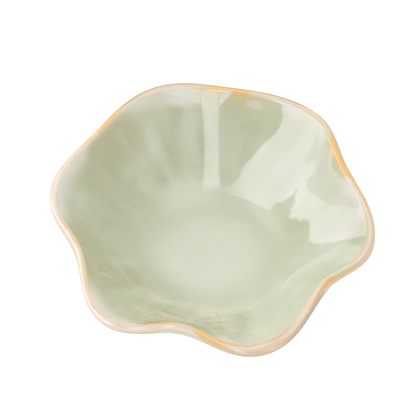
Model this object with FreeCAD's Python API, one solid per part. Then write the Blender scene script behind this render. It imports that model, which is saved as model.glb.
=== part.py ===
"""Ring dish: a shallow six-lobed bowl of glazed stoneware on a low foot ring.

The bowl is one wall of clay, bent into lobes and folds that grow from nothing at the floor to
their full size at the lip. A foot ring is stuck under it with slip. Four coats of glaze cover
the clay: one inside, one over the lip, one outside, and one in the well under the foot.
The origin is on the table, under the middle of the dish, and +Z is up.
"""

import FreeCAD, Part
import math
import os

Vector = FreeCAD.Vector
UP = Vector(0, 0, 1)

# Lip, as the crests of its lobes and the bottoms of its folds, in order round the dish.
# Each has an angle in degrees, a radius in mm, a height in mm over the lip's mean height, and a
# fade, which is the power at which it dies away down the wall.
LOBES = [
    (-16.0, 51.5, 0.5, 6), (47.5, 50.5, -0.2, 12), (111.5, 50.6, 0.8, 10),
    (171.0, 51.0, 0.1, 6), (231.5, 51.6, 0.3, 5), (288.5, 51.5, -3.0, 5),
]
FOLDS = [
    (22.5, 45.8, -0.9, 6), (81.5, 48.5, -0.9, 16), (142.0, 47.5, 0.0, 8),
    (200.0, 43.5, -0.4, 6), (257.5, 42.9, -0.1, 4), (323.0, 43.7, -0.1, 6),
]
LIP_RADIUS = 48.2
LIP_HEIGHT = 27.4

# Wall, as a line through the middle of the clay from the level floor to the lip
FLAT_RADIUS = 5.0
FLOOR_HEIGHT = 5.2
FLOOR_RUN = 23.0
LIP_SLOPE = 50.0
LIP_RUN = 14.0
CLAY_AT_FLOOR = 4.0
CLAY_AT_LIP = 2.8

# Glaze: its thickness, and how many rows of the wall the lip's coat covers on each side
BARE = 0.0
GLAZE = 0.4
RIM_ROWS_INSIDE = 3
RIM_ROWS_OUTSIDE = 3

# Foot ring, stuck on with slip and left bare under the glaze line
FOOT_OUTER = 22.5
FOOT_INNER = 18.0
FOOT_ROUND = 0.8
SLIP = 1.0
GLAZE_LINE = 1.4
GLAZE_ROWS_ON_FOOT = 3

# Poles of the curved faces: round the dish, up the inside, over the lip, and down the outside
# as far as the foot, across the foot and across the well
POLES_AROUND = 96
INSIDE_STEPS = 30
LIP_STEPS = 8
OUTSIDE_STEPS = 21
FOOT_STEPS = 4
WELL_STEPS = 7
DEGREE = 3


def lip_at(angle):
    """Radius, height and fade of the lip at an angle, in half cosine steps from lobe to fold."""
    crests = [point for pair in zip(LOBES, FOLDS) for point in pair]
    turn = (angle - crests[0][0]) % 360.0 + crests[0][0]
    closed = crests + [(crests[0][0] + 360.0, *crests[0][1:])]
    for before, after in zip(closed, closed[1:]):
        if turn <= after[0]:
            part = (turn - before[0]) / (after[0] - before[0])
            ease = (1 - math.cos(math.pi * part)) / 2
            return tuple(a + (b - a) * ease for a, b in zip(before[1:], after[1:]))


def wall_middle(share):
    """Point and direction of the wall's middle line, as (radius, height) pairs, from floor to lip."""
    slope = math.radians(LIP_SLOPE)
    handles = [
        (FLAT_RADIUS, FLOOR_HEIGHT),
        (FLAT_RADIUS + FLOOR_RUN, FLOOR_HEIGHT),
        (LIP_RADIUS - LIP_RUN * math.cos(slope), LIP_HEIGHT - LIP_RUN * math.sin(slope)),
        (LIP_RADIUS, LIP_HEIGHT),
    ]
    rest = 1 - share
    weights = [rest**3, 3 * rest**2 * share, 3 * rest * share**2, share**3]
    pulls = [
        -3 * rest**2, 3 * rest**2 - 6 * rest * share,
        6 * rest * share - 3 * share**2, 3 * share**2,
    ]
    point = [sum(w * h[i] for w, h in zip(weights, handles)) for i in (0, 1)]
    along = [sum(p * h[i] for p, h in zip(pulls, handles)) for i in (0, 1)]
    length = math.hypot(*along)
    return point, [along[0] / length, along[1] / length]


def way_up(radius):
    """How far the wall has come at a radius, from 0 at the level floor to 1 at the glazed tip."""
    tip = LIP_RADIUS + (CLAY_AT_LIP / 2 + GLAZE) * math.cos(math.radians(LIP_SLOPE))
    return (radius - FLAT_RADIUS) / (tip - FLAT_RADIUS)


def wall_row(share, turn, coat):
    """A row of the skin: (radius, height, way up). turn is 0 on the inside, 180 on the outside."""
    (radius, height), (run, rise) = wall_middle(share)
    clay = CLAY_AT_FLOOR + (CLAY_AT_LIP - CLAY_AT_FLOOR) * share
    across = (clay / 2 + coat) * math.cos(math.radians(turn))
    along = (clay / 2 + coat) * math.sin(math.radians(turn))
    place = radius + run * along
    return place - rise * across, height + run * across + rise * along, way_up(place)


def share_at(radius):
    """The share of the wall at which the bare outside has a radius, found by halving."""
    low, high = 0.0, 1.0
    while high - low > 1e-9:
        middle = (low + high) / 2
        if wall_row(middle, 180, BARE)[0] < radius:
            low = middle
        else:
            high = middle
    return low


def steps(first, last, count):
    """Even steps from first towards last, with last left out."""
    return [first + (last - first) * step / count for step in range(count)]


def skin(rows):
    """A smooth closed band round the dish whose poles are the rows, bent to the lobes and folds."""
    poles = []
    for i in range(POLES_AROUND):
        angle = 360.0 * i / POLES_AROUND
        lip_radius, lip_rise, fade = lip_at(angle)
        flat = Vector(math.cos(math.radians(angle)), math.sin(math.radians(angle)), 0)
        poles.append([
            flat * (radius + (lip_radius - LIP_RADIUS) * way**fade) + UP * (height + lip_rise * way**fade)
            for radius, height, way in rows
        ])
    spans = len(rows) - DEGREE
    ends = [DEGREE + 1] + [1] * (spans - 1) + [DEGREE + 1]
    surface = Part.BSplineSurface()
    surface.buildFromPolesMultsKnots(
        poles, [1] * (POLES_AROUND + 1), ends,
        list(range(POLES_AROUND + 1)), list(range(spans + 1)),
        True, False, DEGREE, DEGREE,
    )
    return surface


def knot_of(row):
    """The knot of a skin at which it passes a row, counted from the skin's first row."""
    return row - 1


def band(surface, first, last):
    """The face of a skin between two of its knots."""
    return surface.toShape(0, POLES_AROUND, first, last)


def ring_edge(surface, knot):
    """The closed edge of a skin at one of its knots."""
    return surface.vIso(knot).toShape()


def circle(radius, height):
    """A level circle round the dish's axis."""
    return Part.makeCircle(radius, Vector(0, 0, height), UP)


def disc(edge):
    """The level face inside a closed edge."""
    return Part.Face(Part.Wire(edge))


def level_ring(outer, inner):
    """The level face between two closed edges."""
    return Part.makeFace([Part.Wire(outer), Part.Wire(inner)], "Part::FaceMakerCheese")


def solid(faces):
    """One closed solid from faces that share their edges."""
    shell = Part.makeShell(faces)
    shell.sewShape()
    made = Part.Solid(shell)
    if made.Volume < 0:
        made.reverse()
    return made


# Shares of the wall at which the rows lie
foot_outer_share = share_at(FOOT_OUTER)
foot_inner_share = share_at(FOOT_INNER)
inside_shares = steps(0, 1, INSIDE_STEPS) + [1]
outside_shares = steps(1, foot_outer_share, OUTSIDE_STEPS)
foot_shares = steps(foot_outer_share, foot_inner_share, FOOT_STEPS)
well_shares = steps(foot_inner_share, 0, WELL_STEPS) + [0]
lip_turns = steps(0, 180, LIP_STEPS)[1:]


def wall_rows(coat):
    """Rows of a skin up the inside, over the lip and down the outside to just above the foot."""
    rows = [wall_row(share, 0, coat) for share in inside_shares]
    rows += [wall_row(1, turn, coat) for turn in lip_turns]
    return rows + [wall_row(share, 180, coat) for share in outside_shares]


def foot_top(share):
    """Height of the foot's top under a share of the wall, with room for the slip."""
    return wall_row(share, 180, BARE)[1] - SLIP


def foot_side(face, share):
    """Rows of glaze from the hollow where the foot meets the bowl down to the glaze line."""
    top = foot_top(share)
    hollow = (face, top + SLIP - GLAZE, wall_row(share, 180, BARE)[2])
    heights = steps(top, GLAZE_LINE, GLAZE_ROWS_ON_FOOT) + [GLAZE_LINE]
    return [hollow] + [(face, height, 0) for height in heights]


# The clay's skin goes on across the foot and the well to the middle of the underside.
clay_rows = wall_rows(BARE)
clay_rows += [wall_row(share, 180, BARE) for share in foot_shares + well_shares]
clay_skin = skin(clay_rows)
clay_end = len(clay_rows) - DEGREE

# The glaze inside, over the lip and outside is one skin, which ends on the side of the foot.
glaze_rows = wall_rows(GLAZE)[:-1] + foot_side(FOOT_OUTER + GLAZE, foot_outer_share)
glaze_skin = skin(glaze_rows)
glaze_end = len(glaze_rows) - DEGREE

# The glaze in the well starts on the inner side of the foot and crosses the underside.
well_rows = foot_side(FOOT_INNER - GLAZE, foot_inner_share)[::-1]
well_rows += [wall_row(share, 180, GLAZE) for share in well_shares[2:]]
well_skin = skin(well_rows)
well_end = len(well_rows) - DEGREE

# Knots at which the coats meet each other and the foot
outside_start = INSIDE_STEPS + LIP_STEPS
inside_seam = knot_of(INSIDE_STEPS - RIM_ROWS_INSIDE)
outside_seam = knot_of(outside_start + RIM_ROWS_OUTSIDE)
foot_outer_knot = knot_of(outside_start + OUTSIDE_STEPS)
foot_inner_knot = foot_outer_knot + FOOT_STEPS


def clay_body():
    """The bowl itself: one wall of stoneware, thicker at the floor than at the lip."""
    return solid([
        band(clay_skin, 0, clay_end),
        disc(ring_edge(clay_skin, 0)),
        disc(ring_edge(clay_skin, clay_end)),
    ])


def coat_edge(knot):
    """The narrow face through the thickness of the glaze where two coats meet."""
    return Part.makeRuledSurface(ring_edge(clay_skin, knot), ring_edge(glaze_skin, knot))


def inner_glaze():
    """The coat poured into the bowl, up to just under the lip."""
    return solid([
        band(clay_skin, 0, inside_seam),
        band(glaze_skin, 0, inside_seam),
        disc(ring_edge(clay_skin, 0)),
        disc(ring_edge(glaze_skin, 0)),
        coat_edge(inside_seam),
    ])


def rim_glaze():
    """The coat over the lip, which breaks to amber on the crest."""
    return solid([
        band(clay_skin, inside_seam, outside_seam),
        band(glaze_skin, inside_seam, outside_seam),
        coat_edge(inside_seam),
        coat_edge(outside_seam),
    ])


def turned(line):
    """What an edge or a face makes when it is turned once round the dish's axis."""
    return line.revolve(Vector(0, 0, 0), UP, 360)


# Corners of the foot's section, the inner pair first
foot_corners = [
    Vector(FOOT_INNER, 0, 0), Vector(FOOT_INNER, 0, foot_top(foot_inner_share)),
    Vector(FOOT_OUTER, 0, foot_top(foot_outer_share)), Vector(FOOT_OUTER, 0, 0),
]
inner_top, outer_top = foot_corners[1:3]


def slip_side(knot, corner):
    """The side of the slip, from the underside of the bowl to a corner of the foot's top."""
    return Part.makeRuledSurface(ring_edge(clay_skin, knot), circle(corner.x, corner.z))


def foot_face(corner):
    """The foot's straight side from a corner of its top down to the glaze line."""
    return turned(Part.makeLine(corner, Vector(corner.x, 0, GLAZE_LINE)))


def outer_glaze():
    """The coat on the outside, from under the lip to the glaze line on the foot."""
    return solid([
        band(clay_skin, outside_seam, foot_outer_knot),
        slip_side(foot_outer_knot, outer_top),
        foot_face(outer_top),
        level_ring(ring_edge(glaze_skin, glaze_end), circle(FOOT_OUTER, GLAZE_LINE)),
        band(glaze_skin, outside_seam, glaze_end),
        coat_edge(outside_seam),
    ])


def foot_well_glaze():
    """The coat in the well under the foot."""
    return solid([
        band(clay_skin, foot_inner_knot, clay_end),
        disc(ring_edge(clay_skin, clay_end)),
        slip_side(foot_inner_knot, inner_top),
        foot_face(inner_top),
        level_ring(circle(FOOT_INNER, GLAZE_LINE), ring_edge(well_skin, 0)),
        band(well_skin, 0, well_end),
        disc(ring_edge(well_skin, well_end)),
    ])


def slip_joint():
    """The slip between the turned top of the foot and the uneven underside of the bowl."""
    return solid([
        band(clay_skin, foot_outer_knot, foot_inner_knot),
        slip_side(foot_outer_knot, outer_top),
        slip_side(foot_inner_knot, inner_top),
        turned(Part.makeLine(inner_top, outer_top)),
    ])


def foot_ring():
    """The ring that the dish stands on, with its lower edges rounded."""
    section = Part.Face(Part.makePolygon(foot_corners + foot_corners[:1]))
    ring = turned(section)
    low_edges = [edge for edge in ring.Edges if edge.BoundBox.ZMax < FOOT_ROUND]
    return ring.makeFillet(FOOT_ROUND, low_edges)


PIECES = [clay_body, foot_ring, slip_joint, inner_glaze, rim_glaze, outer_glaze, foot_well_glaze]

os.makedirs("parts", exist_ok=True)
for make in PIECES:
    piece = make()
    box = piece.BoundBox
    print(
        f"{make.__name__}: valid {piece.isValid()}, closed {piece.isClosed()}, {piece.Volume:.0f} mm3,"
        f" {box.XLength:.1f} x {box.YLength:.1f} mm, z {box.ZMin:.2f} to {box.ZMax:.2f}"
    )
    piece.exportStep(f"parts/{make.__name__}.step")
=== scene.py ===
"""Looks of the ring dish: a six-lobed stoneware bowl in celadon glaze with an amber line on its lip."""

import bpy
import math
from mathutils import Matrix, Vector
from types import SimpleNamespace


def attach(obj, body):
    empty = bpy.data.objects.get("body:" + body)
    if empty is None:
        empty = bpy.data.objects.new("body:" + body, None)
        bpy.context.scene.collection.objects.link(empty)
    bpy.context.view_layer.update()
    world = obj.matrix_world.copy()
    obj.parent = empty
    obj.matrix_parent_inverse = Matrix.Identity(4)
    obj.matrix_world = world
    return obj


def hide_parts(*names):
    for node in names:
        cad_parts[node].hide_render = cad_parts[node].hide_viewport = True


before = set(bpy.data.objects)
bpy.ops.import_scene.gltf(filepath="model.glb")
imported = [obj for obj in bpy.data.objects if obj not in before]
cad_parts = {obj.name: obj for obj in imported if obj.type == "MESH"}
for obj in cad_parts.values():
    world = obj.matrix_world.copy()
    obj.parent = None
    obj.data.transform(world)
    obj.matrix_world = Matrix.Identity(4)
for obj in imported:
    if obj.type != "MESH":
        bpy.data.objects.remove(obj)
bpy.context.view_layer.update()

# Clay bowl
# One wall of stoneware, pressed over a mould and then pinched by hand into six lobes and six folds.
# It is thicker at the floor than at the lip. The glaze hides all of it.
MM = 0.001

# Crests of the lobes and bottoms of the folds: angle in degrees, radius in mm, height over the lip's mean
# in mm, and the power at which each dies away down the wall
LOBES = [
    (-16.0, 51.5, 0.5, 6), (47.5, 50.5, -0.2, 12), (111.5, 50.6, 0.8, 10),
    (171.0, 51.0, 0.1, 6), (231.5, 51.6, 0.3, 5), (288.5, 51.5, -3.0, 5),
]
FOLDS = [
    (22.5, 45.8, -0.9, 6), (81.5, 48.5, -0.9, 16), (142.0, 47.5, 0.0, 8),
    (200.0, 43.5, -0.4, 6), (257.5, 42.9, -0.1, 4), (323.0, 43.7, -0.1, 6),
]

# The wall's middle line and its coats in mm, its slope at the lip in degrees, and how fully lobes swing out
LIP_RADIUS = 48.2
LIP_HEIGHT = 27.4
RUFFLE_EASE = 0.95
FLAT_RADIUS = 5.0
FLOOR_HEIGHT = 5.2
FLOOR_RUN = 23.0
LIP_SLOPE = 50.0
LIP_RUN = 14.0
CLAY_AT_FLOOR = 4.0
CLAY_AT_LIP = 2.7
BARE = 0.0
GLAZE = 0.4

# Turns in degrees about the end of the wall's middle line, for its two sides
INSIDE = 0
OUTSIDE = 180

# Columns of the mesh round the dish, rows of its section, and which of them the hidden clay keeps
COLUMNS = 288
INSIDE_ROWS = 110
LIP_ROWS = 24
OUTSIDE_ROWS = 80
UNDER_ROWS = 12
CLAY_STEP = 2

# Halvings that find a place on the wall, and the gap in mm at which points of the mesh become one
HALVINGS = 40
MERGE = 0.001

# Rows under the dish count as this far from the top of the lip, in mm
FAR_FROM_LIP = 60.0

# Small unevenness left by the hands: how far, over what length, and the draw
UNEVEN = 0.10
UNEVEN_SIZE = 14.0
UNEVEN_SEED = 7.0

BISQUE = (0.56, 0.43, 0.30, 1)
BISQUE_SPECK = (0.20, 0.13, 0.08, 1)
CLAY_GRAIN = 0.35
SPECK_SPREAD = 0.3


def lip_at(angle):
    """How far out and up the lip is from its means, in mm, its fade, and 0 on a lobe to 1 in a fold."""
    crests = [(*point, fold) for pair in zip(LOBES, FOLDS) for fold, point in enumerate(pair)]
    turn = (angle - crests[0][0]) % 360.0 + crests[0][0]
    closed = crests + [(crests[0][0] + 360.0, *crests[0][1:])]
    for before, after in zip(closed, closed[1:]):
        if turn <= after[0]:
            part = (turn - before[0]) / (after[0] - before[0])
            ease = (1 - math.cos(math.pi * part)) / 2
            radius, rise, fade, fold = (a + (b - a) * ease for a, b in zip(before[1:], after[1:]))
            return (radius - LIP_RADIUS) * RUFFLE_EASE, rise * RUFFLE_EASE, fade, fold


def wall_middle(share):
    """Point and direction of the wall's middle line, from the floor at 0 to the lip at 1."""
    slope = math.radians(LIP_SLOPE)
    handles = [
        Vector((FLAT_RADIUS, FLOOR_HEIGHT)),
        Vector((FLAT_RADIUS + FLOOR_RUN, FLOOR_HEIGHT)),
        Vector((LIP_RADIUS - LIP_RUN * math.cos(slope), LIP_HEIGHT - LIP_RUN * math.sin(slope))),
        Vector((LIP_RADIUS, LIP_HEIGHT)),
    ]
    while len(handles) > 2:
        handles = [a.lerp(b, share) for a, b in zip(handles, handles[1:])]
    return handles[0].lerp(handles[1], share), (handles[1] - handles[0]).normalized()


def wall_row(share, turn, coat):
    """A row of the wall as (radius, way up, height), by its turn from INSIDE to OUTSIDE."""
    middle, along = wall_middle(share)
    reach = CLAY_AT_FLOOR / 2 + (CLAY_AT_LIP - CLAY_AT_FLOOR) / 2 * share + coat
    place = middle + along * reach * math.sin(math.radians(turn))
    point = place + Vector((-along.y, along.x)) * reach * math.cos(math.radians(turn))
    tip = LIP_RADIUS + (CLAY_AT_LIP / 2 + GLAZE) * math.cos(math.radians(LIP_SLOPE))
    return point.x, (place.x - FLAT_RADIUS) / (tip - FLAT_RADIUS), point.y


def steps(first, last, count):
    """Even steps from first to last, both of them among the steps."""
    return [first + (last - first) * step / count for step in range(count + 1)]


def share_at(radius):
    """The share of the wall at which the bare outside has a radius, in mm, found by halving."""
    low, high = 0.0, 1.0
    for _ in range(HALVINGS):
        middle = (low + high) / 2
        if wall_row(middle, OUTSIDE, BARE)[0] < radius:
            low = middle
        else:
            high = middle
    return low


def fill(tree, node, inputs):
    """Fill a node's inputs, each by a link or a plain value."""
    for name, value in dict(inputs).items():
        if isinstance(value, bpy.types.NodeSocket):
            tree.links.new(value, node.inputs[name])
        else:
            node.inputs[name].default_value = value


def add(tree, kind, inputs=(), **settings):
    """Add a node to a tree, with its settings and inputs."""
    made = tree.nodes.new(kind)
    for name, value in settings.items():
        setattr(made, name, value)
    fill(tree, made, inputs)
    return made


def calc(tree, operation, *values):
    """A Math node's result."""
    return add(tree, "ShaderNodeMath", enumerate(values), operation=operation).outputs[0]


def lobed_skin_tree():
    """Turns a section's rows round the axis and bends each row to the lobes and folds of the lip."""
    tree = bpy.data.node_groups.new("lobed_skin", "GeometryNodeTree")
    sockets = {
        "Section": "Geometry", "Lip": "Object", "Columns": "Int", "Rows": "Int", "Uneven": "Float",
        "Uneven Size": "Float", "Seed": "Float", "Material": "Material",
    }
    for name, kind in sockets.items():
        tree.interface.new_socket(name, in_out="INPUT", socket_type="NodeSocket" + kind)
    tree.interface.new_socket("Skin", in_out="OUTPUT", socket_type="NodeSocketGeometry")
    given = add(tree, "NodeGroupInput").outputs
    index = add(tree, "GeometryNodeInputIndex").outputs[0]
    place = add(tree, "GeometryNodeInputPosition").outputs[0]
    from_top = add(tree, "GeometryNodeInputNamedAttribute", {"Name": "from_top"}).outputs[0]
    fold = add(tree, "GeometryNodeInputNamedAttribute", {"Name": "fold"}).outputs[0]

    # One column more than asked for, so that the last lies on the first and is merged with it
    columns = calc(tree, "ADD", given["Columns"], 1)
    grid = add(tree, "GeometryNodeMeshGrid", {"Vertices X": columns, "Vertices Y": given["Rows"]})
    row = calc(tree, "MODULO", index, given["Rows"])
    column = calc(tree, "FLOOR", calc(tree, "DIVIDE", calc(tree, "ADD", index, 0.5), given["Rows"]))
    angle = calc(tree, "DIVIDE", calc(tree, "MULTIPLY", column, math.tau), given["Columns"])

    # The section gives radius, way up the wall and height. The lip gives how far out and up, and its fade
    lip = add(tree, "GeometryNodeObjectInfo", {"Object": given["Lip"]}).outputs["Geometry"]
    lip_index = calc(tree, "MODULO", column, given["Columns"])
    picks = {"domain": "POINT", "data_type": "FLOAT_VECTOR"}
    section_at = {"Geometry": given["Section"], "Value": place, "Index": row}
    lip_place = {"Geometry": lip, "Value": place, "Index": lip_index}
    section_point = add(tree, "GeometryNodeSampleIndex", section_at, **picks).outputs[0]
    lip_point = add(tree, "GeometryNodeSampleIndex", lip_place, **picks).outputs[0]
    radius, way, height = add(tree, "ShaderNodeSeparateXYZ", {0: section_point}).outputs
    out, rise, fade = add(tree, "ShaderNodeSeparateXYZ", {0: lip_point}).outputs
    ruffle = calc(tree, "POWER", way, fade)
    radius = calc(tree, "MULTIPLY_ADD", ruffle, out, radius)
    height = calc(tree, "MULTIPLY_ADD", ruffle, rise, height)
    across = calc(tree, "MULTIPLY", radius, calc(tree, "COSINE", angle))
    away = calc(tree, "MULTIPLY", radius, calc(tree, "SINE", angle))
    point = add(tree, "ShaderNodeCombineXYZ", {0: across, 1: away, 2: height}).outputs[0]

    # Unevenness grows up the wall, so the floor and the foot stay true
    finer = calc(tree, "DIVIDE", 1, given["Uneven Size"])
    spot = add(tree, "ShaderNodeVectorMath", {0: point, "Scale": finer}, operation="SCALE").outputs[0]
    settings = {"Vector": spot, "W": given["Seed"], "Scale": 1, "Detail": 1}
    noise = add(tree, "ShaderNodeTexNoise", settings, noise_dimensions="4D").outputs["Color"]
    halves = {0: noise, 1: (0.5, 0.5, 0.5)}
    centred = add(tree, "ShaderNodeVectorMath", halves, operation="SUBTRACT").outputs[0]
    amount = calc(tree, "MULTIPLY", given["Uneven"], way)
    shift = add(tree, "ShaderNodeVectorMath", {0: centred, "Scale": amount}, operation="SCALE").outputs[0]
    point = add(tree, "ShaderNodeVectorMath", {0: point, 1: shift}, operation="ADD").outputs[0]

    mesh = grid.outputs["Mesh"]
    kept = {
        "from_top": {"Geometry": given["Section"], "Value": from_top, "Index": row},
        "fold": {"Geometry": lip, "Value": fold, "Index": lip_index},
    }
    for name, value_at in kept.items():
        value = add(tree, "GeometryNodeSampleIndex", value_at, domain="POINT", data_type="FLOAT").outputs[0]
        mesh = add(tree, "GeometryNodeStoreNamedAttribute", {"Geometry": mesh, "Name": name, "Value": value},
                   domain="POINT", data_type="FLOAT").outputs[0]
    mesh = add(tree, "GeometryNodeSetPosition", {"Geometry": mesh, "Position": point}).outputs[0]
    mesh = add(tree, "GeometryNodeMergeByDistance", {"Geometry": mesh, "Distance": MERGE * MM}).outputs[0]
    mesh = add(tree, "GeometryNodeSetShadeSmooth", {"Geometry": mesh}).outputs[0]
    mesh = add(tree, "GeometryNodeRealizeInstances", {"Geometry": mesh}).outputs[0]
    mesh = add(tree, "GeometryNodeSetMaterial", {"Geometry": mesh, "Material": given["Material"]}).outputs[0]
    add(tree, "NodeGroupOutput", {"Skin": mesh})
    return tree


def placed(name, data):
    """A new object in the scene."""
    made = bpy.data.objects.new(name, data)
    bpy.context.scene.collection.objects.link(made)
    return made


def points_object(name, points, label, values):
    """An object of loose points, each with a labelled value, for the tree to read."""
    mesh = bpy.data.meshes.new(name)
    mesh.from_pydata(points, [], [])
    mesh.attributes.new(label, "FLOAT", "POINT").data.foreach_set("value", values)
    return placed(name, mesh)


lobed_skin = lobed_skin_tree()
lip_points = [lip_at(360.0 * column / COLUMNS) for column in range(COLUMNS)]
lip_places = [(out * MM, rise * MM, fade) for out, rise, fade, _ in lip_points]
lip_object = points_object("lip_rule", lip_places, "fold", [point[3] for point in lip_points])
SHARP = math.radians(35)


def skin_piece(name, rows, material):
    """A finished closed piece from its section's rows, each (radius, way up, height, from_top), in mm."""
    places = [(row[0] * MM, row[1], row[2] * MM) for row in rows]
    made = points_object(name, places, "from_top", [row[3] for row in rows])
    modifier = made.modifiers.new("lobed_skin", "NODES")
    modifier.node_group = lobed_skin
    values = {
        "Lip": lip_object, "Columns": COLUMNS, "Rows": len(rows), "Uneven": UNEVEN * MM,
        "Uneven Size": UNEVEN_SIZE * MM, "Seed": UNEVEN_SEED, "Material": material,
    }
    for socket in lobed_skin.interface.items_tree:
        if socket.name in values:
            modifier[socket.identifier] = values[socket.name]
    depsgraph = bpy.context.evaluated_depsgraph_get()
    mesh = bpy.data.meshes.new_from_object(made.evaluated_get(depsgraph), depsgraph=depsgraph)
    made.modifiers.clear()
    points = made.data
    made.data = mesh
    bpy.data.meshes.remove(points)
    mesh.name = name
    mesh.set_sharp_from_angle(angle=SHARP)
    return made


def shader_group(name, inputs, outputs):
    """An empty shader node group with named sockets, and its input sockets."""
    tree = bpy.data.node_groups.new(name, "ShaderNodeTree")
    for side, sockets in (("INPUT", inputs), ("OUTPUT", outputs)):
        for socket, (kind, value) in sockets.items():
            made = tree.interface.new_socket(socket, in_out=side, socket_type="NodeSocket" + kind)
            if value is not None:
                made.default_value = value
    return tree, add(tree, "NodeGroupInput").outputs


def noise_at(tree, vector, size, detail=2.0, seed=0.0):
    """Noise of 0 to 1 with features of about a size in mm."""
    settings = {"Vector": vector, "Scale": 1 / (size * MM), "Detail": detail, "W": seed}
    return add(tree, "ShaderNodeTexNoise", settings, noise_dimensions="4D").outputs["Fac"]


def ramp(tree, value, low, high, to_low=0.0, to_high=1.0):
    """A smooth step from to_low at low to to_high at high."""
    settings = {"Value": value, "From Min": low, "From Max": high, "To Min": to_low, "To Max": to_high}
    return add(tree, "ShaderNodeMapRange", settings, interpolation_type="SMOOTHSTEP").outputs[0]


def blend(tree, share, first, second):
    """Two colours mixed by a share."""
    mixed = {"Factor": share, 6: first, 7: second}
    return add(tree, "ShaderNodeMix", mixed, data_type="RGBA").outputs[2]


def clay_grain_group():
    """Fired clay: a warm body with darker specks, and a fine tooth."""
    tree, given = shader_group(
        "clay_grain",
        {"Clay": ("Color", BISQUE), "Speck": ("Color", BISQUE_SPECK), "Grain": ("Float", CLAY_GRAIN)},
        {"Color": ("Color", None), "Height": ("Float", None)},
    )
    place = add(tree, "ShaderNodeTexCoord").outputs["Object"]
    scale = calc(tree, "DIVIDE", 1 / MM, given["Grain"])
    grain = add(tree, "ShaderNodeTexNoise", {"Vector": place, "Scale": scale, "Detail": 3}).outputs["Fac"]
    coarser = calc(tree, "MULTIPLY", scale, SPECK_SPREAD)
    speck = add(tree, "ShaderNodeTexVoronoi", {"Vector": place, "Scale": coarser})
    dot = ramp(tree, speck.outputs["Distance"], 0.22, 0.12, 0.0, 0.5)
    cloud = noise_at(tree, place, size=9.0)
    color = blend(tree, ramp(tree, cloud, 0.3, 0.7, 0.0, 0.35), given["Clay"], given["Speck"])
    color = blend(tree, dot, color, given["Speck"])
    add(tree, "NodeGroupOutput", {"Color": color, "Height": grain})
    return tree


clay_grain = clay_grain_group()


def new_material(name):
    """A material with nodes, and its tree."""
    material = bpy.data.materials.new(name)
    material.use_nodes = True
    return material, material.node_tree


def clay_material(name, clay, speck, grain, roughness):
    """Bare fired clay in its own colour and grain."""
    material, tree = new_material(name)
    values = {"Clay": clay, "Speck": speck, "Grain": grain}
    group = add(tree, "ShaderNodeGroup", values, node_tree=clay_grain).outputs
    tooth = {"Height": group["Height"], "Strength": 0.5, "Distance": 0.1 * MM}
    bump = add(tree, "ShaderNodeBump", tooth)
    finish = {"Base Color": group["Color"], "Roughness": roughness, "Normal": bump.outputs["Normal"]}
    fill(tree, tree.nodes["Principled BSDF"], finish)
    return material


def finish_piece(piece, node):
    """The piece stands for its CAD node: it hangs under the root body and the node is hidden."""
    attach(piece, "root")
    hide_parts(node)


# The foot's radii in mm, the shares of the wall at which coats of glaze meet, and how near rows lie to a seam
FOOT_OUTER = 22.5
FOOT_INNER = 18.0
INSIDE_SEAM = 0.90
OUTSIDE_SEAM = 0.91
SEAM_NEAR = 0.002
foot_outer_share = share_at(FOOT_OUTER)
foot_inner_share = share_at(FOOT_INNER)


def with_seam(shares, seam):
    """The shares with three more at a seam, so close that shading runs on across it."""
    return sorted(set(shares + [seam - SEAM_NEAR, seam, seam + SEAM_NEAR]))


inside_shares = with_seam(steps(0, 1, INSIDE_ROWS), INSIDE_SEAM)
outside_shares = with_seam(steps(foot_outer_share, 1, OUTSIDE_ROWS), OUTSIDE_SEAM)[::-1]
lip_turns = steps(INSIDE, OUTSIDE, LIP_ROWS)[1:-1]


def wall_rows(coat):
    """Rows up the inside, over the lip and down the outside to the foot."""
    rows = [wall_row(share, INSIDE, coat) for share in inside_shares]
    rows += [wall_row(1, turn, coat) for turn in lip_turns]
    return rows + [wall_row(share, OUTSIDE, coat) for share in outside_shares]


def measured(rows):
    """Rows with the distance of each from the top of the lip along the section, inside below 0."""
    lengths = [0.0]
    for before, after in zip(rows, rows[1:]):
        lengths.append(lengths[-1] + math.hypot(after[0] - before[0], after[2] - before[2]))
    top = max(range(len(rows)), key=lambda i: rows[i][2])
    return [(*row, length - lengths[top]) for row, length in zip(rows, lengths)]


def to_axis(rows):
    """Rows with their first carried level to the dish's axis."""
    first = rows[0]
    return [(0.0, 0.0, *first[2:])] + rows


clay_rows = measured(wall_rows(BARE))
under_shares = steps(foot_outer_share, 0, UNDER_ROWS)[1:]
under_rows = [(*wall_row(share, OUTSIDE, BARE), FAR_FROM_LIP) for share in under_shares]
clay_section = to_axis(clay_rows[::CLAY_STEP]) + to_axis(under_rows[::-1])[::-1]
bisque = clay_material("bisque_clay", BISQUE, BISQUE_SPECK, grain=CLAY_GRAIN, roughness=0.85)
clay_body = skin_piece("clay_bowl", clay_section[::-1], bisque)
finish_piece(clay_body, "clay_body")

# Foot ring
# A low ring turned from the same stoneware, stuck under the bowl. It is left bare under the glaze line,
# because glaze there would stick to the kiln shelf, and its lower edges are wiped round.
FOOT_ROUND = 0.8
FOOT_ROUND_STEPS = 8
SLIP = 1.0
FOOT_CLAY = (0.60, 0.46, 0.32, 1)
FOOT_SPECK = (0.26, 0.17, 0.10, 1)


def foot_top(share):
    """Height of the foot's top under a share of the wall, with room for the slip."""
    return wall_row(share, OUTSIDE, BARE)[2] - SLIP


def round_corner(radius, out):
    """A rounded lower edge of the foot, from its flat face up to its side. out is 1 or -1."""
    turns = [math.radians(turn) for turn in steps(0, 90, FOOT_ROUND_STEPS)]
    return [
        (radius - out * FOOT_ROUND * (1 - math.sin(turn)), FOOT_ROUND * (1 - math.cos(turn)))
        for turn in turns
    ]


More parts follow.
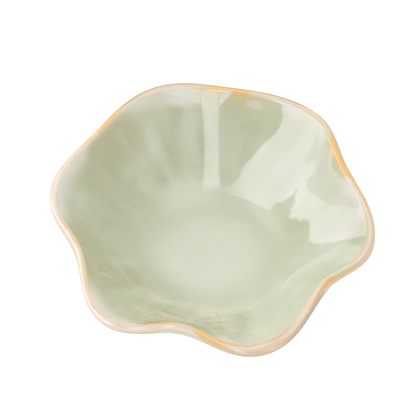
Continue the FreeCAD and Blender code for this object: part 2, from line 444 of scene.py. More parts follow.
outer_side = round_corner(FOOT_OUTER, 1) + [(FOOT_OUTER, foot_top(foot_outer_share))]
inner_side = round_corner(FOOT_INNER, -1) + [(FOOT_INNER, foot_top(foot_inner_share))]
foot_outline = outer_side + inner_side[::-1] + outer_side[:1]
foot_section = [(radius, 0.0, height, FAR_FROM_LIP) for radius, height in foot_outline]
foot_clay = clay_material("foot_clay", FOOT_CLAY, FOOT_SPECK, grain=0.25, roughness=0.8)
foot_ring = skin_piece("foot", foot_section, foot_clay)
finish_piece(foot_ring, "foot_ring")

# Slip joint
# Liquid clay between the turned top of the foot and the underside of the bowl, fused to both in the kiln.
# Nothing of it shows, so the solid stays as it is and gets a finer, greyer clay.
SLIP_CLAY = (0.50, 0.40, 0.30, 1)
SLIP_SPECK = (0.24, 0.17, 0.12, 1)
slip_clay = clay_material("slip_clay", SLIP_CLAY, SLIP_SPECK, grain=0.15, roughness=0.9)
slip_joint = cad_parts["slip_joint"]
slip_joint.data.materials.clear()
slip_joint.data.materials.append(slip_clay)

# Inner glaze
# A celadon glaze poured into the bowl and swilled round: pale where it lies thick on the floor, greener and
# more olive where it has run down the walls, with a few crazed patches. It is glass, smooth and bright.
GLAZE_COLORS = {
    "Green": (0.52, 0.56, 0.385, 1),
    "Pale": (0.61, 0.63, 0.50, 1),
    "Olive": (0.46, 0.47, 0.29, 1),
    "Tan": (0.57, 0.53, 0.33, 1),
    "Deep": (0.41, 0.45, 0.28, 1),
    # Darker olive for the painted shade under the lip
    "Painted_Shade": (0.37, 0.37, 0.19, 1),
    # Cool and Warm paint the reflection in the pale band under the lip; Cool also paints the flare under the
    # far lip and is the drop of thick glaze
    "Cool": (0.76, 0.75, 0.67, 1),
    "Warm": (0.66, 0.61, 0.52, 1),
    "Cream": (0.66, 0.55, 0.38, 1),
    # White is the lip's pale streaks, and also the painted highlight on its crest
    "White": (0.75, 0.69, 0.60, 1),
    "Peach": (0.64, 0.50, 0.34, 1),
    "Brown": (0.42, 0.31, 0.19, 1),
    "Amber": (0.74, 0.46, 0.13, 1),
    "Outside": (0.64, 0.65, 0.53, 1),
    "Craze": (0.80, 0.76, 0.52, 1),
}

# Streaks round the dish, how fast they change with each mm down the wall, and how much finer smears are
STREAKS = 4.0
RUN_FALL = 0.03
RING_FALL = 1.0
SMEAR_SCALE = 1.6

# The lip's cream: how ragged its edges are, and how far it reaches down the outside of a lobe and a crease
LIP_RAGGED = 1.6
LIP_ON_LOBE = 5.0
LIP_IN_CREASE = 2.2


def chain(tree, operation, values):
    """The values worked together, two at a time, by a Math operation."""
    result, *others = values
    for value in others:
        result = calc(tree, operation, result, value)
    return result


def product(tree, *values):
    """All the values multiplied together."""
    return chain(tree, "MULTIPLY", values)


def total(tree, *values):
    """All the values added together."""
    return chain(tree, "ADD", values)


def largest(tree, *values):
    """The largest of the values."""
    return chain(tree, "MAXIMUM", values)


def shifted(tree, value, *shifts):
    """A value moved by shifts, each a share and how far the value moves where the share is 1."""
    for share, amount in shifts:
        value = calc(tree, "MULTIPLY_ADD", share, amount, value)
    return value


def rest_of(tree, share):
    """What is left of 1 beside a share."""
    return calc(tree, "SUBTRACT", 1.0, share)


def about_zero(tree, noise):
    """Noise of 0 to 1 moved to lie about 0."""
    return calc(tree, "SUBTRACT", noise, 0.5)


def between(tree, share, none, full):
    """A value that eases from none to full as a share goes from 0 to 1."""
    return ramp(tree, share, 0.0, 1.0, none, full)


def part_of(tree, *limits):
    """1 in a part and 0 outside it. A limit is a measure, where the part starts and where it is full."""
    return product(tree, *[ramp(tree, *limit) for limit in limits])


def glaze_places(tree, given):
    """What the layers of glaze share: places on the dish in mm, noise, and masks of parts of the dish."""
    at = SimpleNamespace(from_top=given["From Top"], fold=given["Fold"])
    at.place = add(tree, "ShaderNodeTexCoord").outputs["Object"]
    right, back, _ = add(tree, "ShaderNodeSeparateXYZ", {0: at.place}).outputs
    at.across = calc(tree, "DIVIDE", right, MM)
    at.away = calc(tree, "DIVIDE", back, MM)
    at.cloud = noise_at(tree, at.place, size=22.0, detail=2, seed=1.0)
    at.wisp = noise_at(tree, at.place, size=7.0, detail=3, seed=2.0)
    at.fine = noise_at(tree, at.place, size=1.6, detail=2, seed=3.0)

    level = add(tree, "ShaderNodeCombineXYZ", {0: at.across, 1: at.away}).outputs[0]
    outward = add(tree, "ShaderNodeVectorMath", {0: level}, operation="NORMALIZE").outputs[0]
    spread = {0: outward, "Scale": STREAKS}
    way_round = add(tree, "ShaderNodeVectorMath", spread, operation="SCALE").outputs[0]
    round_x, round_y, _ = add(tree, "ShaderNodeSeparateXYZ", {0: way_round}).outputs

    def streaks(fall, scale, detail):
        """Noise on the wall, drawn out down it where the fall is small and round it where it is large."""
        drawn = {0: round_x, 1: round_y, 2: calc(tree, "MULTIPLY", at.from_top, fall)}
        drawn = add(tree, "ShaderNodeCombineXYZ", drawn).outputs[0]
        settings = {"Vector": drawn, "Scale": scale, "Detail": detail}
        return add(tree, "ShaderNodeTexNoise", settings).outputs["Fac"]

    at.run = streaks(RUN_FALL, 1.0, 2)
    at.smear = streaks(RUN_FALL, SMEAR_SCALE, 1)
    at.ring = streaks(RING_FALL, 1.0, 2)
    at.wall = part_of(tree, (at.from_top, -34.0, -24.0), (at.from_top, -2.0, -5.0))
    at.under_lip = part_of(tree, (at.from_top, -11.0, -3.0), (at.from_top, 0.0, -2.0))
    at.near = ramp(tree, at.away, -8.0, -24.0)
    at.near_right = part_of(tree, (at.across, 21.0, 29.0), (at.across, 37.0, 33.0), (at.away, -16.0, -26.0))
    at.left_lip = ramp(tree, at.across, -25.0, -42.0)
    at.ragged = shifted(tree, at.from_top, (about_zero(tree, at.wisp), LIP_RAGGED))
    crease = part_of(tree, (at.fold, 0.5, 0.95), (at.across, 10.0, -2.0))
    past_lip = calc(tree, "SUBTRACT", at.ragged, between(tree, crease, LIP_ON_LOBE, LIP_IN_CREASE))
    at.lip_end = ramp(tree, past_lip, 1.0, -1.0)
    return at


# How the edges of the olive and of the pale front lean, and how many mm they wander
OLIVE_LEAN = 0.40
OLIVE_WANDER = 20.0
FRONT_LEAN = 0.3
FRONT_WANDER = 30.0


def celadon_layer(tree, given, at):
    """Green: olive on the left, pale in front, on the floor and in the runs, with brush rings and smudges."""
    drift = about_zero(tree, at.cloud)
    nearer = calc(tree, "MINIMUM", at.away, 0.0)
    leftward = shifted(tree, at.across, (nearer, OLIVE_LEAN), (drift, OLIVE_WANDER))
    left = ramp(tree, leftward, -21.0, -36.0, 0.0, 0.5)
    near_left = product(tree, at.near, ramp(tree, at.across, -8.0, -17.0, 0.0, 0.4))
    between_runs = product(tree, at.wall, ramp(tree, at.run, 0.50, 0.30, 0.0, 0.4))
    color = blend(tree, total(tree, left, near_left, between_runs), given["Green"], given["Olive"])

    forward = calc(tree, "MULTIPLY", at.away, -1.0)
    forward = shifted(tree, forward, (at.across, FRONT_LEAN), (drift, FRONT_WANDER))
    front = part_of(tree, (forward, 2.0, 30.0, 0.0, 0.85), (at.across, -26.0, 4.0),
                    (at.across, 20.0, 40.0, 1.0, 0.55))
    flat = ramp(tree, at.from_top, -26.0, -42.0, 0.0, 0.4)
    in_runs = product(tree, at.wall, ramp(tree, at.run, 0.45, 0.70, 0.0, 0.55))
    wisps = ramp(tree, at.wisp, 0.5, 0.75, 0.0, 0.25)
    color = blend(tree, total(tree, largest(tree, front, flat), in_runs, wisps), color, given["Pale"])

    brushed = product(tree, at.wall, between(tree, at.near, 0.25, 1.0))
    pale_ring = product(tree, brushed, ramp(tree, at.ring, 0.48, 0.70, 0.0, 0.3))
    olive_ring = product(tree, brushed, ramp(tree, at.ring, 0.48, 0.30, 0.0, 0.3))
    color = blend(tree, pale_ring, color, given["Pale"])
    color = blend(tree, olive_ring, color, given["Olive"])
    blotch = noise_at(tree, at.place, size=8.0, detail=3, seed=4.0)
    smudge = product(tree, at.wall, part_of(tree, (blotch, 0.50, 0.70, 0.0, 0.5), (at.across, 22.0, 10.0)))
    return blend(tree, smudge, color, given["Deep"])


# How ragged the lower edge of the painted shade under the lip is, and how much further down it goes in front,
# in mm
SHADE_RAGGED = 12.0
SHADE_DEEPER = 9.0


def under_lip_shade_layer(tree, given, at, color):
    """Under the lip: tan in the folds, painted shade of darker olive in the folds, in front and on the left,
    and smears down the wall.
    """
    tan_folds = part_of(tree, (at.fold, 0.3, 0.9, 0.1, 0.7), (at.across, 28.0, 14.0))
    color = blend(tree, product(tree, tan_folds, at.under_lip), color, given["Tan"])

    # Painted shade: the glaze is darkened under the lip, in the folds, in front and on the left, and further
    # down in front
    reach = shifted(tree, at.from_top, (about_zero(tree, at.wisp), SHADE_RAGGED), (at.near, SHADE_DEEPER))
    near_lobe = product(tree, at.near, ramp(tree, at.across, 17.0, 9.0, 0.0, 0.55))
    folded = largest(tree, ramp(tree, at.fold, 0.0, 0.5), near_lobe)
    shaded_under_lip = product(tree, folded, part_of(tree, (reach, -19.0, -11.0), (at.from_top, -1.0, -3.0)))
    near_shade = part_of(tree, (at.across, 20.0, 8.0), (at.across, -24.0, -14.0),
                        (at.ring, 0.35, 0.60, 0.95, 0.5))
    near_shade = product(tree, at.near, near_shade)
    left_shade = product(tree, ramp(tree, at.across, -14.0, -24.0), between(tree, at.near, 0.7, 0.2))
    shade_color = blend(tree, at.near, given["Olive"], given["Painted_Shade"])
    color = blend(tree, product(tree, shaded_under_lip, largest(tree, near_shade, left_shade)), color, shade_color)

    smeared = part_of(tree, (at.across, 22.0, 8.0, 0.3, 1.0), (at.across, -42.0, -22.0, 0.35, 1.0))
    smeared = product(tree, smeared, at.wall, between(tree, at.near, 1.0, 0.2))
    pale_smear = product(tree, smeared, ramp(tree, at.smear, 0.50, 0.66, 0.0, 0.36))
    olive_smear = product(tree, smeared, ramp(tree, at.smear, 0.50, 0.34, 0.0, 0.30))
    color = blend(tree, pale_smear, color, given["Pale"])
    return blend(tree, olive_smear, color, given["Olive"])


# The depth in mm of the pale band, a painted reflection, and its depth in the middle of the far wall
BAND_DEPTH = -4.0
BAND_MIDDLE_DEPTH = -8.0


def painted_reflection_layer(tree, given, at, color):
    """Painted reflection: a pale band on the lobes under the lip, cool at the back and warm on the right, and
    painted shade on the right lobe.
    """
    back_warm = part_of(tree, (at.across, -10.0, -18.0), (at.away, 24.0, 34.0, 0.0, 0.7))
    warm_share = largest(tree, ramp(tree, at.across, -5.0, 15.0), back_warm)
    band_color = blend(tree, warm_share, given["Cool"], given["Warm"])
    left_lobe = part_of(tree, (at.across, -36.0, -46.0), (at.away, 0.0, 10.0))
    folded = product(tree, at.fold, ramp(tree, at.across, 36.0, 26.0), rest_of(tree, left_lobe))
    middle = part_of(tree, (at.across, -26.0, -4.0), (at.across, 12.0, 0.0))
    depth = calc(tree, "DIVIDE", at.from_top, between(tree, middle, BAND_DEPTH, BAND_MIDDLE_DEPTH))
    fades_to = ramp(tree, at.across, -26.0, -12.0, 1.8, 1.0)
    fades_from = ramp(tree, at.across, -26.0, -12.0, 0.2, 0.6)
    far_right = part_of(tree, (at.across, 10.0, 22.0), (at.away, 14.0, 26.0))
    right_lobe = part_of(tree, (at.across, 30.0, 42.0), (at.away, 0.0, -6.0))
    reflection_band = part_of(tree, (depth, fades_to, fades_from), (folded, 0.75, 0.2, 0.0, 0.8))
    reflection_band = product(tree, reflection_band, between(tree, far_right, 1.0, 0.1), between(tree, right_lobe, 1.0, 0.15))
    color = blend(tree, reflection_band, color, band_color)
    # Painted shade under the lip on the right lobe
    right_shade = product(tree, right_lobe, at.under_lip, ramp(tree, at.away, -14.0, -9.0, 0.0, 0.4))
    color = blend(tree, right_shade, color, given["Painted_Shade"])
    near_band = product(tree, at.near_right, ramp(tree, at.from_top, -10.0, -5.0, 0.0, 0.4))
    return blend(tree, near_band, color, given["Warm"])


# The flare's two lower edges, a painted reflection: slope, and mm from the top of the lip at the middle of
# the far wall
FLARE_EDGES = ((-0.37, -7.4), (1.25, -9.9))

# The drop's place to the right and under the lip, and its half width and half height, in mm
DROP_ACROSS = 14.0
DROP_UNDER = 4.2
DROP_WIDTH = 2.9
DROP_HEIGHT = 1.5


def flare_reflection_layer(tree, given, at, color):
    """Under the far lip: a painted reflection that flares out from the strip light with slanted lower edges,
    and a drop of thick pale glaze to its right.
    """
    far_wall = ramp(tree, at.away, 30.0, 36.0)
    edges = [calc(tree, "MULTIPLY_ADD", at.across, slope, start) for slope, start in FLARE_EDGES]
    over_edge = calc(tree, "SUBTRACT", at.from_top, largest(tree, *edges))
    flare_reflection = part_of(tree, (over_edge, -0.3, 0.5), (at.from_top, -0.4, -1.2))
    # The painted reflection is weaker where the strip light itself is mirrored, so that the two run together
    middle = part_of(tree, (at.across, -4.6, -3.4), (at.across, 3.2, 2.0))
    color = blend(tree, product(tree, flare_reflection, far_wall, between(tree, middle, 0.8, 0.1)), color, given["Cool"])

    aside = calc(tree, "DIVIDE", calc(tree, "SUBTRACT", at.across, DROP_ACROSS), DROP_WIDTH)
    under = calc(tree, "DIVIDE", calc(tree, "ADD", at.from_top, DROP_UNDER), DROP_HEIGHT)
    from_drop = calc(tree, "SQRT", total(tree, product(tree, aside, aside), product(tree, under, under)))
    drop = product(tree, far_wall, ramp(tree, from_drop, 1.1, 0.8, 0.0, 0.3))
    return blend(tree, drop, color, given["Cool"])


def lip_layer(tree, given, at, color):
    """A paler glaze outside, and over the lip cream, streaky peach at the front right, and a painted white
    highlight on the crest.
    """
    outside_share = ramp(tree, shifted(tree, at.from_top, (at.wisp, 2.0)), 2.0, 4.0)
    color = blend(tree, outside_share, color, given["Outside"])

    peach = part_of(tree, (at.across, -8.0, 10.0), (at.away, -6.0, -26.0))
    pale_streak = product(tree, peach, ramp(tree, at.ring, 0.50, 0.66, 0.0, 0.6))
    amber_streak = product(tree, peach, ramp(tree, at.ring, 0.48, 0.32, 0.0, 0.35))
    lip_color = blend(tree, peach, given["Cream"], given["Peach"])
    lip_color = blend(tree, pale_streak, lip_color, given["White"])
    lip_color = blend(tree, amber_streak, lip_color, given["Amber"])

    # A painted highlight: white along the crest of the lip in front, on the left and at the near right
    past_crest = calc(tree, "ADD", at.from_top, ramp(tree, at.away, -8.0, 12.0, -0.2, 1.4))
    left_crest_highlight = part_of(tree, (past_crest, 0.0, 0.8), (at.from_top, 2.4, 1.5),
                         (at.across, 0.0, -8.0, 0.0, 0.8))
    left_crest_highlight = product(tree, left_crest_highlight, largest(tree, at.near, at.left_lip))
    right_crest_highlight = part_of(tree, (at.from_top, -1.8, -0.9), (at.from_top, 0.9, 0.0))
    right_crest_highlight = product(tree, right_crest_highlight, at.near_right)
    lip_color = blend(tree, largest(tree, left_crest_highlight, right_crest_highlight), lip_color, given["White"])

    right_fold = part_of(tree, (at.across, 30.0, 40.0), (at.fold, 0.2, 0.5))
    on_lobe = ramp(tree, at.fold, 0.6, 0.1, 0.0, 1.3)
    lip_start = ramp(tree, shifted(tree, at.ragged, (right_fold, -1.8), (peach, on_lobe)), -1.8, -0.2)
    return blend(tree, product(tree, lip_start, at.lip_end), color, lip_color)


# The amber line's place moves out by this much for each mm to the right and to the back, and wanders in mm.
# The amber is the glaze's own colour, but the move is painted shading: it keeps the amber to the sides of the
# lip turned away from the light at the front left.
AMBER_RIGHT = 0.013
AMBER_BACK = 0.012
AMBER_WANDER = -2.0

# The line's half width on a lobe, in mm, and how much wider it is in patches
AMBER_WIDTH = 0.4
AMBER_WIDER = 0.8


def amber_layer(tree, given, at, color):
    """A line of amber along the lip, broad in the folds and broken on the lobes, with gold stains."""
    back_left = part_of(tree, (at.across, -10.0, -20.0), (at.away, 0.0, 10.0))
    left_bend = part_of(tree, (at.across, -34.0, -40.0), (at.away, 10.0, 0.0), (at.away, -15.0, -10.0))
    low_right = part_of(tree, (at.across, 31.0, 35.0), (at.away, -8.0, -13.0), (at.away, -30.0, -26.0))
    right_patch = part_of(tree, (at.across, 33.0, 37.0), (at.away, 11.0, 16.0), (at.away, 31.0, 25.0))
    near_fold = product(tree, at.near, part_of(tree, (at.across, -6.0, -2.0), (at.across, 10.0, 5.0)))
    back_right = part_of(tree, (at.away, 10.0, 22.0), (at.across, -20.0, 0.0),
                         (at.across, 26.0, 36.0, 1.0, 0.25))

    # Where the line lies, in mm from the top of the lip
    wander = about_zero(tree, noise_at(tree, at.place, size=10.0, detail=2, seed=8.0))
    line = shifted(tree, calc(tree, "MULTIPLY", at.away, AMBER_BACK), (at.across, AMBER_RIGHT),
                   (left_bend, 0.7), (back_right, -1.3), (near_fold, 0.4), (low_right, 1.5),
                   (right_patch, -0.9), (wander, AMBER_WANDER))
    past_line = calc(tree, "SUBTRACT", at.from_top, line)

    # How broad it is
    in_fold = product(tree, at.fold, ramp(tree, at.wisp, 0.35, 0.60, 0.4, 1.2))
    by_side = part_of(tree, (at.across, -14.0, -4.0, 1.0, 1.3), (at.across, 20.0, 40.0, 1.0, 0.7))
    in_patch = product(tree, total(tree, low_right, near_fold, right_patch), AMBER_WIDER)
    width = product(tree, total(tree, in_fold, AMBER_WIDTH), by_side, between(tree, back_left, 1.0, 0.85),
                    total(tree, in_patch, 1.0))
    amber_line = ramp(tree, calc(tree, "DIVIDE", calc(tree, "ABSOLUTE", past_line), width), 1.0, 0.3)

    # Where it is faint
    front_right = part_of(tree, (at.across, 16.0, 28.0), (at.away, -8.0, -18.0, 0.0, 0.6))
    front_right = product(tree, front_right, between(tree, low_right, 1.0, 0.6))
    far_gap = part_of(tree, (at.across, 10.0, 15.0), (at.across, 35.0, 30.0), (at.away, 20.0, 28.0))
    far_lobe = part_of(tree, (at.across, 2.0, -4.0), (at.away, 34.0, 42.0, 0.0, 0.6))
    left_side = part_of(tree, (at.across, -34.0, -38.0), (at.away, 28.0, 24.0, 0.0, 0.65))
    near_gap = part_of(tree, (at.across, -3.0, -7.0), (at.across, -17.0, -12.0, 0.0, 0.7))
    near_gap = product(tree, at.near, near_gap)
    on_back_left = product(tree, back_left, 0.1)
    faint = largest(tree, front_right, far_gap, far_lobe, left_side, near_gap, on_back_left)
    dashes = largest(tree, ramp(tree, at.wisp, 0.34, 0.46), between(tree, back_left, 0.8, 0.6))
    folded = shifted(tree, at.fold, (back_left, 0.2))
    strength = product(tree, ramp(tree, folded, 0.15, 0.5, 0.12, 1.0), dashes, rest_of(tree, faint))

    spots = noise_at(tree, at.place, size=5.0, detail=2, seed=11.0)
    stain = part_of(tree, (past_line, -4.0, -0.5), (past_line, 1.0, 0.0), (spots, 0.42, 0.55),
                    (at.across, -12.0, 0.0), (at.away, 10.0, 15.0, 0.0, 0.7))
    return blend(tree, product(tree, largest(tree, amber_line, stain), strength), color, given["Amber"])


def brown_layer(tree, given, at, color):
    """The outer edge of the lip, where the glaze is so thin that the clay browns it."""
    right_lip = part_of(tree, (at.across, 12.0, 26.0), (at.across, 38.0, 33.0), (at.away, -8.0, -22.0))
    right_side = part_of(tree, (at.across, 28.0, 36.0), (at.away, -14.0, -6.0))
    start = total(tree, ramp(tree, at.away, -30.0, 20.0, 2.6, -0.2), at.left_lip)
    start = shifted(tree, start, (right_lip, -1.8), (right_side, 1.1))
    run_in = ramp(tree, at.away, -20.0, 10.0, 1.6, 0.6)
    past_start = calc(tree, "DIVIDE", calc(tree, "SUBTRACT", at.from_top, start), run_in)
    brown_share = part_of(tree, (past_start, 0.0, 1.0), (at.away, -10.0, 10.0, 0.8, 0.65))
    return blend(tree, product(tree, brown_share, at.lip_end), color, given["Brown"])


def crazing_layer(tree, given, at, color):
    """Faint crazing lines, in patches of the wall in front."""
    cracks = noise_at(tree, at.place, size=1.5, detail=3, seed=6.0)
    crack = calc(tree, "ABSOLUTE", about_zero(tree, cracks))
    patch = noise_at(tree, at.place, size=11.0, detail=1, seed=9.0)
    lines = part_of(tree, (crack, 0.05, 0.01), (patch, 0.50, 0.60), (at.across, 26.0, 16.0, 0.0, 0.5))
    return blend(tree, product(tree, lines, at.near, at.wall), color, given["Craze"])


def glaze_surface(tree, at):
    """Roughness, gloss and height. The glaze is dry in the near folds and on the outer side of the lip."""
    near_folds = part_of(tree, (at.fold, 0.3, 0.8), (at.away, -10.0, -28.0),
                         (at.from_top, -18.0, -8.0), (at.from_top, 0.0, -1.0))
    lip_side = part_of(tree, (at.from_top, 0.6, 1.6), (at.from_top, 7.0, 5.0))
    dry = largest(tree, near_folds, lip_side)
    return {
        "Roughness": shifted(tree, ramp(tree, at.fine, 0.3, 0.7, 0.06, 0.12), (dry, 0.4)),
        "Gloss": product(tree, ramp(tree, at.fine, 0.2, 0.8, 1.0, 0.9), rest_of(tree, dry)),
        "Height": total(tree, product(tree, at.wisp, 0.8), product(tree, at.fine, 0.1)),
    }


def dish_glaze_group():
    """The glaze's colour and surface on all the coats, because it runs on across the seams between them."""
    colors = {name: ("Color", color) for name, color in GLAZE_COLORS.items()}
    outputs = {"Color": "Color", "Roughness": "Float", "Gloss": "Float", "Height": "Float"}
    tree, given = shader_group(
        "dish_glaze",
        {"From Top": ("Float", 0.0), "Fold": ("Float", 0.0), **colors},
        {name: (kind, None) for name, kind in outputs.items()},
    )
    at = glaze_places(tree, given)
    color = celadon_layer(tree, given, at)
    for layer in (under_lip_shade_layer, painted_reflection_layer, flare_reflection_layer, lip_layer, amber_layer, brown_layer, crazing_layer):
        color = layer(tree, given, at, color)
    add(tree, "NodeGroupOutput", {"Color": color, **glaze_surface(tree, at)})
    return tree


dish_glaze = dish_glaze_group()


def glaze_material(name):
    """Bright glass over the clay, with the group's colour and a faint ripple."""
    material, tree = new_material(name)
    from_top = add(tree, "ShaderNodeAttribute", attribute_name="from_top").outputs["Fac"]
    fold = add(tree, "ShaderNodeAttribute", attribute_name="fold").outputs["Fac"]
    places = {"From Top": from_top, "Fold": fold}
    group = add(tree, "ShaderNodeGroup", places, node_tree=dish_glaze).outputs
    ripple = {"Height": group["Height"], "Strength": 0.15, "Distance": 0.3 * MM}
    bump = add(tree, "ShaderNodeBump", ripple)
    finish = {
        "Base Color": group["Color"], "Roughness": group["Roughness"], "Normal": bump.outputs["Normal"],
        "IOR": 1.5, "Coat Weight": group["Gloss"], "Coat Roughness": 0.03, "Coat IOR": 1.6,
    }
    fill(tree, tree.nodes["Principled BSDF"], finish)
    return material


BACK_STEP = 4
glaze_rows = measured(wall_rows(GLAZE))
inside_seam = inside_shares.index(INSIDE_SEAM)
outside_seam = len(inside_shares) + len(lip_turns) + outside_shares.index(OUTSIDE_SEAM)


def back_rows(rows):
    """The clay side of a coat, with fewer rows than its face but the same two ends."""
    return rows[:-1:BACK_STEP] + rows[-1:]


inner_back = to_axis(back_rows(clay_rows[:inside_seam + 1]))
inner_face = to_axis(glaze_rows[:inside_seam + 1])
inner_glaze = skin_piece("inner_coat", inner_back + inner_face[::-1], glaze_material("celadon_glaze"))
finish_piece(inner_glaze, "inner_glaze")

# Lip glaze
# The same glaze drains off the lip in the kiln, so it is thin and cream there, breaks to amber in a line
# that wanders along the crest, and browns at its outer edge.
rim_back = back_rows(clay_rows[inside_seam:outside_seam + 1])
rim_face = glaze_rows[inside_seam:outside_seam + 1]
rim_section = rim_back + rim_face[::-1] + rim_back[:1]
rim_glaze = skin_piece("lip_coat", rim_section, glaze_material("amber_glaze"))
finish_piece(rim_glaze, "rim_glaze")

# Outer glaze
# A thinner coat on the outside, cream with a green cast. It rolls into the hollow over the foot and stops
# at the glaze line.
GLAZE_LINE = 1.4
HOLLOW_STEPS = 8
SIDE_STEPS = 3
HOLLOW_START = 6


def foot_side(face, share, start):
    """Rows of glaze that curve from a row of the wall into the hollow and down the foot's side."""
    top = foot_top(share)
    corner = (face, wall_row(share, OUTSIDE, BARE)[1], top + SLIP - GLAZE)
    end = (face, 0.0, top - SLIP)
    curve = []
    for part in steps(0, 1, HOLLOW_STEPS)[1:]:
        weights = ((1 - part) ** 2, 2 * part * (1 - part), part ** 2)
        curve.append(tuple(sum(w * p[i] for w, p in zip(weights, (start, corner, end))) for i in range(3)))
    return curve + [(face, 0.0, height) for height in steps(end[2], GLAZE_LINE, SIDE_STEPS)[1:]]


outer_wall = glaze_rows[outside_seam:-HOLLOW_START]
outer_hollow = foot_side(FOOT_OUTER + GLAZE, foot_outer_share, outer_wall[-1][:3])
outer_face = outer_wall + [(*row, FAR_FROM_LIP) for row in outer_hollow]
outer_back = back_rows(clay_rows[outside_seam:])
outer_ends = (foot_top(foot_outer_share), GLAZE_LINE)
outer_back += [(FOOT_OUTER, 0.0, height, FAR_FROM_LIP) for height in outer_ends]
outer_section = outer_back + outer_face[::-1] + outer_back[:1]
outer_glaze = skin_piece("outer_coat", outer_section, glaze_material("cream_glaze"))
finish_piece(outer_glaze, "outer_glaze")

# Foot well glaze
# The same cream glaze, brushed into the well under the dish. It curves down the inner side of the foot to
# the glaze line.
WELL_ROWS = 24
WELL_BACK_ROWS = 8
WELL_HOLLOW_START = 3
well_shares = steps(foot_inner_share, 0, WELL_ROWS)[WELL_HOLLOW_START:]
well_rows = [(*wall_row(share, OUTSIDE, GLAZE), FAR_FROM_LIP) for share in well_shares]
well_hollow = foot_side(FOOT_INNER - GLAZE, foot_inner_share, well_rows[0][:3])
well_face = to_axis(well_rows[::-1]) + [(*row, FAR_FROM_LIP) for row in well_hollow]
back_shares = steps(foot_inner_share, 0, WELL_BACK_ROWS)
well_clay = [(*wall_row(share, OUTSIDE, BARE), FAR_FROM_LIP) for share in back_shares]
well_back = to_axis(well_clay[::-1])
well_ends = (foot_top(foot_inner_share), GLAZE_LINE)
well_back += [(FOOT_INNER, 0.0, height, FAR_FROM_LIP) for height in well_ends]
well_glaze = skin_piece("well_coat", well_face + well_back[::-1], glaze_material("well_glaze"))
finish_piece(well_glaze, "foot_well_glaze")
bpy.data.objects.remove(lip_object)

# Studio
# A pale floor in soft even light. The glaze mirrors a dim room: a tall window on the left with leaves before
# it and haze beside it, a narrow strip light that goes from the front to overhead, and three soft glows
# overhead, on the ceiling behind and at the right.
FLOOR_SIZE = 8.0
FLOOR_COLOR = (0.80, 0.80, 0.80, 1)
FLOOR_GLOW = 0.60
AMBIENT = 1.10
DAYLIGHT = (0.90, 0.79, 1.0, 1)
ROOM = 0.40
WINDOW = 2.8
HAZE = 1.0
STRIP = 2.2

# The key lamp: brightness, the middles of its lower and upper edge, and its width, in metres
KEY = 1.2
KEY_LOW = (-0.60, 0.55, 0.25)
KEY_HIGH = (-0.45, 0.40, 0.85)
KEY_WIDTH = 0.90

# The window's back edge as an angle round the dish, how far in degrees and how finely leaves break it up,
# and how much light a bush takes
WINDOW_BACK = 150.0
LEAVES = 9.0
LEAF_SCALE = 24
BUSH = 0.5

# The soft glows: direction from the dish, reach in degrees, and brightness. The core is full over this
# share of the reach
GLOWS = (
    ((0.20, 0.05, 0.98), 22.0, 1.2),
    ((0.03, 0.66, 0.75), 28.0, 1.2),
    ((0.67, -0.40, 0.63), 14.0, 0.6),
)
GLOW_CORE = 0.2

floor_mesh = bpy.data.meshes.new("floor")
half = FLOOR_SIZE / 2
corners = [(-half, -half, 0), (half, -half, 0), (half, half, 0), (-half, half, 0)]
floor_mesh.from_pydata(corners, [], [(0, 1, 2, 3)])
floor = placed("floor", floor_mesh)


def seen_rays(tree):
    """1 for rays that show the background: from the camera, a reflection or through glass."""
    path = add(tree, "ShaderNodeLightPath").outputs
    return largest(tree, path["Is Camera Ray"], path["Is Glossy Ray"], path["Is Transmission Ray"])


floor_paper, tree = new_material("floor_paper")
tree.nodes.remove(tree.nodes["Principled BSDF"])
matte = add(tree, "ShaderNodeBsdfDiffuse", {"Color": FLOOR_COLOR}).outputs[0]
glow = calc(tree, "MULTIPLY", seen_rays(tree), FLOOR_GLOW)
lit = add(tree, "ShaderNodeEmission", {"Strength": glow}).outputs[0]
surface = add(tree, "ShaderNodeAddShader", {0: matte, 1: lit}).outputs[0]
fill(tree, tree.nodes["Material Output"], {"Surface": surface})
floor_mesh.materials.append(floor_paper)


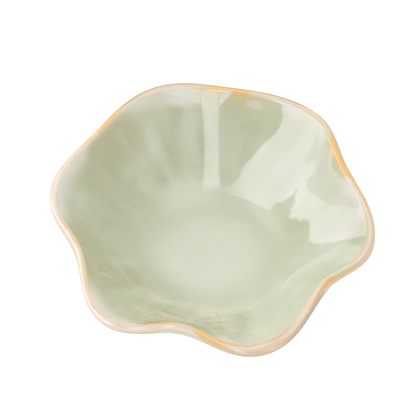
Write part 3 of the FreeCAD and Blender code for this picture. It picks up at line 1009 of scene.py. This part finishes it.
def window_lights(tree, toward, height, turn):
    """The window behind leaves and the haze beside it, by direction, height and turn in degrees."""
    past = calc(tree, "WRAP", calc(tree, "SUBTRACT", turn, WINDOW_BACK), 180.0, -180.0)

    # The front edge leans, and is softer high up
    lean = ramp(tree, height, 62.0, 84.0, 74.0, 46.0)
    front_edge = calc(tree, "SUBTRACT", lean, ramp(tree, height, 43.0, 35.0, 0.0, 3.5))
    soft = ramp(tree, height, 36.0, 75.0, 0.8, 5.0)
    past_front = calc(tree, "DIVIDE", calc(tree, "SUBTRACT", past, front_edge), soft)

    # At the back leaves hide a corner, a branch hangs in, and a shrub and its stalk stand low
    leaf = {"Vector": toward, "Scale": LEAF_SCALE, "Detail": 5, "Roughness": 0.6}
    leaves = add(tree, "ShaderNodeTexNoise", leaf).outputs["Color"]
    leaf_turn, leaf_height, _ = add(tree, "ShaderNodeSeparateXYZ", {0: leaves}).outputs
    past = shifted(tree, past, (about_zero(tree, leaf_turn), LEAVES))
    rise = shifted(tree, height, (about_zero(tree, leaf_height), LEAVES))
    past_corner = calc(tree, "SUBTRACT", past, ramp(tree, rise, 24.0, 28.0, -10.5, 3.0))
    before_branch_end = (shifted(tree, past, (rise, 0.75)), 55.0, 53.0)
    branch = part_of(tree, (shifted(tree, rise, (past, 0.33)), 45.0, 47.0), before_branch_end,
                     (rise, 60.0, 56.0, 0.3, 1.0))
    shrub = part_of(tree, (shifted(tree, past, (rise, -0.6)), 4.6, 5.4), (past, 27.8, 26.8),
                    (rise, 27.4, 26.6), (rise, 4.0, 7.0))
    stalk = part_of(tree, (shifted(tree, rise, (past, -1.15)), -14.0, -16.0), (past, 25.5, 27.0),
                    (past, 42.0, 38.0))
    bush = product(tree, largest(tree, shrub, stalk), BUSH)
    window = part_of(tree, (past_front, 1.0, -1.0), (past_corner, -1.0, 1.0), (height, 0.0, 2.0),
                     (height, 0.0, 35.0, 0.56, 0.95), (height, 90.0, 68.0))
    window = product(tree, window, rest_of(tree, branch), rest_of(tree, bush))

    # Past the branch the room is hazy
    haze = part_of(tree, (shifted(tree, rise, (past, -0.5)), 45.0, 59.0), before_branch_end,
                   (past, -24.0, -8.0), (height, 85.0, 62.0))
    return window, haze


def studio_lights(tree):
    """Brightness of the studio in each direction, as the glaze mirrors it."""
    toward = add(tree, "ShaderNodeTexCoord").outputs["Generated"]
    right, back, up = add(tree, "ShaderNodeSeparateXYZ", {0: toward}).outputs
    height = calc(tree, "DEGREES", calc(tree, "ARCSINE", up))
    turn = calc(tree, "DEGREES", calc(tree, "ARCTAN2", back, right))
    window, haze = window_lights(tree, toward, height, turn)

    # The strip's place is measured up from the front and over the top, and to either side of that line
    over = calc(tree, "DEGREES", calc(tree, "ARCTAN2", up, calc(tree, "MULTIPLY", back, -1.0)))
    aside = calc(tree, "ABSOLUTE", calc(tree, "DEGREES", calc(tree, "ARCSINE", right)))
    strip = part_of(tree, (aside, 4.8, 3.8), (over, 13.0, 15.0), (over, 94.0, 84.0))

    lights = [(window, WINDOW), (haze, HAZE), (strip, STRIP)]
    for direction, reach, brightness in GLOWS:
        nearness = {0: toward, 1: Vector(direction).normalized()}
        nearness = add(tree, "ShaderNodeVectorMath", nearness, operation="DOT_PRODUCT").outputs["Value"]
        gap = calc(tree, "DEGREES", calc(tree, "ARCCOSINE", nearness))
        lights.append((ramp(tree, gap, reach, GLOW_CORE * reach), brightness))
    return shifted(tree, ROOM, *lights)


world = bpy.data.worlds.new("studio")
world.use_nodes = True
bpy.context.scene.world = world
tree = world.node_tree
glossy = add(tree, "ShaderNodeLightPath").outputs["Is Glossy Ray"]
mirrored = calc(tree, "SUBTRACT", studio_lights(tree), AMBIENT)
strength = calc(tree, "MULTIPLY_ADD", glossy, mirrored, AMBIENT)
tint = blend(tree, glossy, (1, 1, 1, 1), DAYLIGHT)
fill(tree, tree.nodes["Background"], {"Color": tint, "Strength": strength})


def panel(name, low, high, width, brightness):
    """A soft light between the middles of its lower and upper edge, with a brightness of 1 as white."""
    low, high = Vector(low), Vector(high)
    light = bpy.data.lights.new(name, "AREA")
    light.shape = "RECTANGLE"
    light.size = width
    light.size_y = (high - low).length
    light.energy = brightness * math.pi * width * light.size_y
    upright = (high - low).normalized()
    sideways = upright.cross((low + high) / 2).normalized()
    made = placed(name, light)
    made.matrix_world = Matrix((sideways, upright, sideways.cross(upright))).transposed().to_4x4()
    made.location = (low + high) / 2
    made.visible_glossy = False


panel("key", KEY_LOW, KEY_HIGH, KEY_WIDTH, KEY)

# Camera
# The photograph looks down at the dish from the front with a long lens. It is aimed a little over the
# middle of the lip and to the left of it.
ELEVATION = math.radians(57)
DISTANCE = 0.600
LENS = 163.0
TARGET = Vector((0, 0, LIP_HEIGHT * MM))
AIM_LEFT = 1.05 * MM
AIM_UP = 1.30 * MM

camera_data = bpy.data.cameras.new("camera")
camera_data.lens = LENS
camera = placed("camera", camera_data)
bpy.context.scene.camera = camera
camera.location = TARGET + DISTANCE * Vector((0, -math.cos(ELEVATION), math.sin(ELEVATION)))
image_up = Vector((0, math.sin(ELEVATION), math.cos(ELEVATION)))
aim = TARGET + Vector((-AIM_LEFT, 0, 0)) + image_up * AIM_UP
camera.rotation_euler = (aim - camera.location).to_track_quat("-Z", "Y").to_euler()

bpy.context.scene.view_settings.view_transform = "Standard"
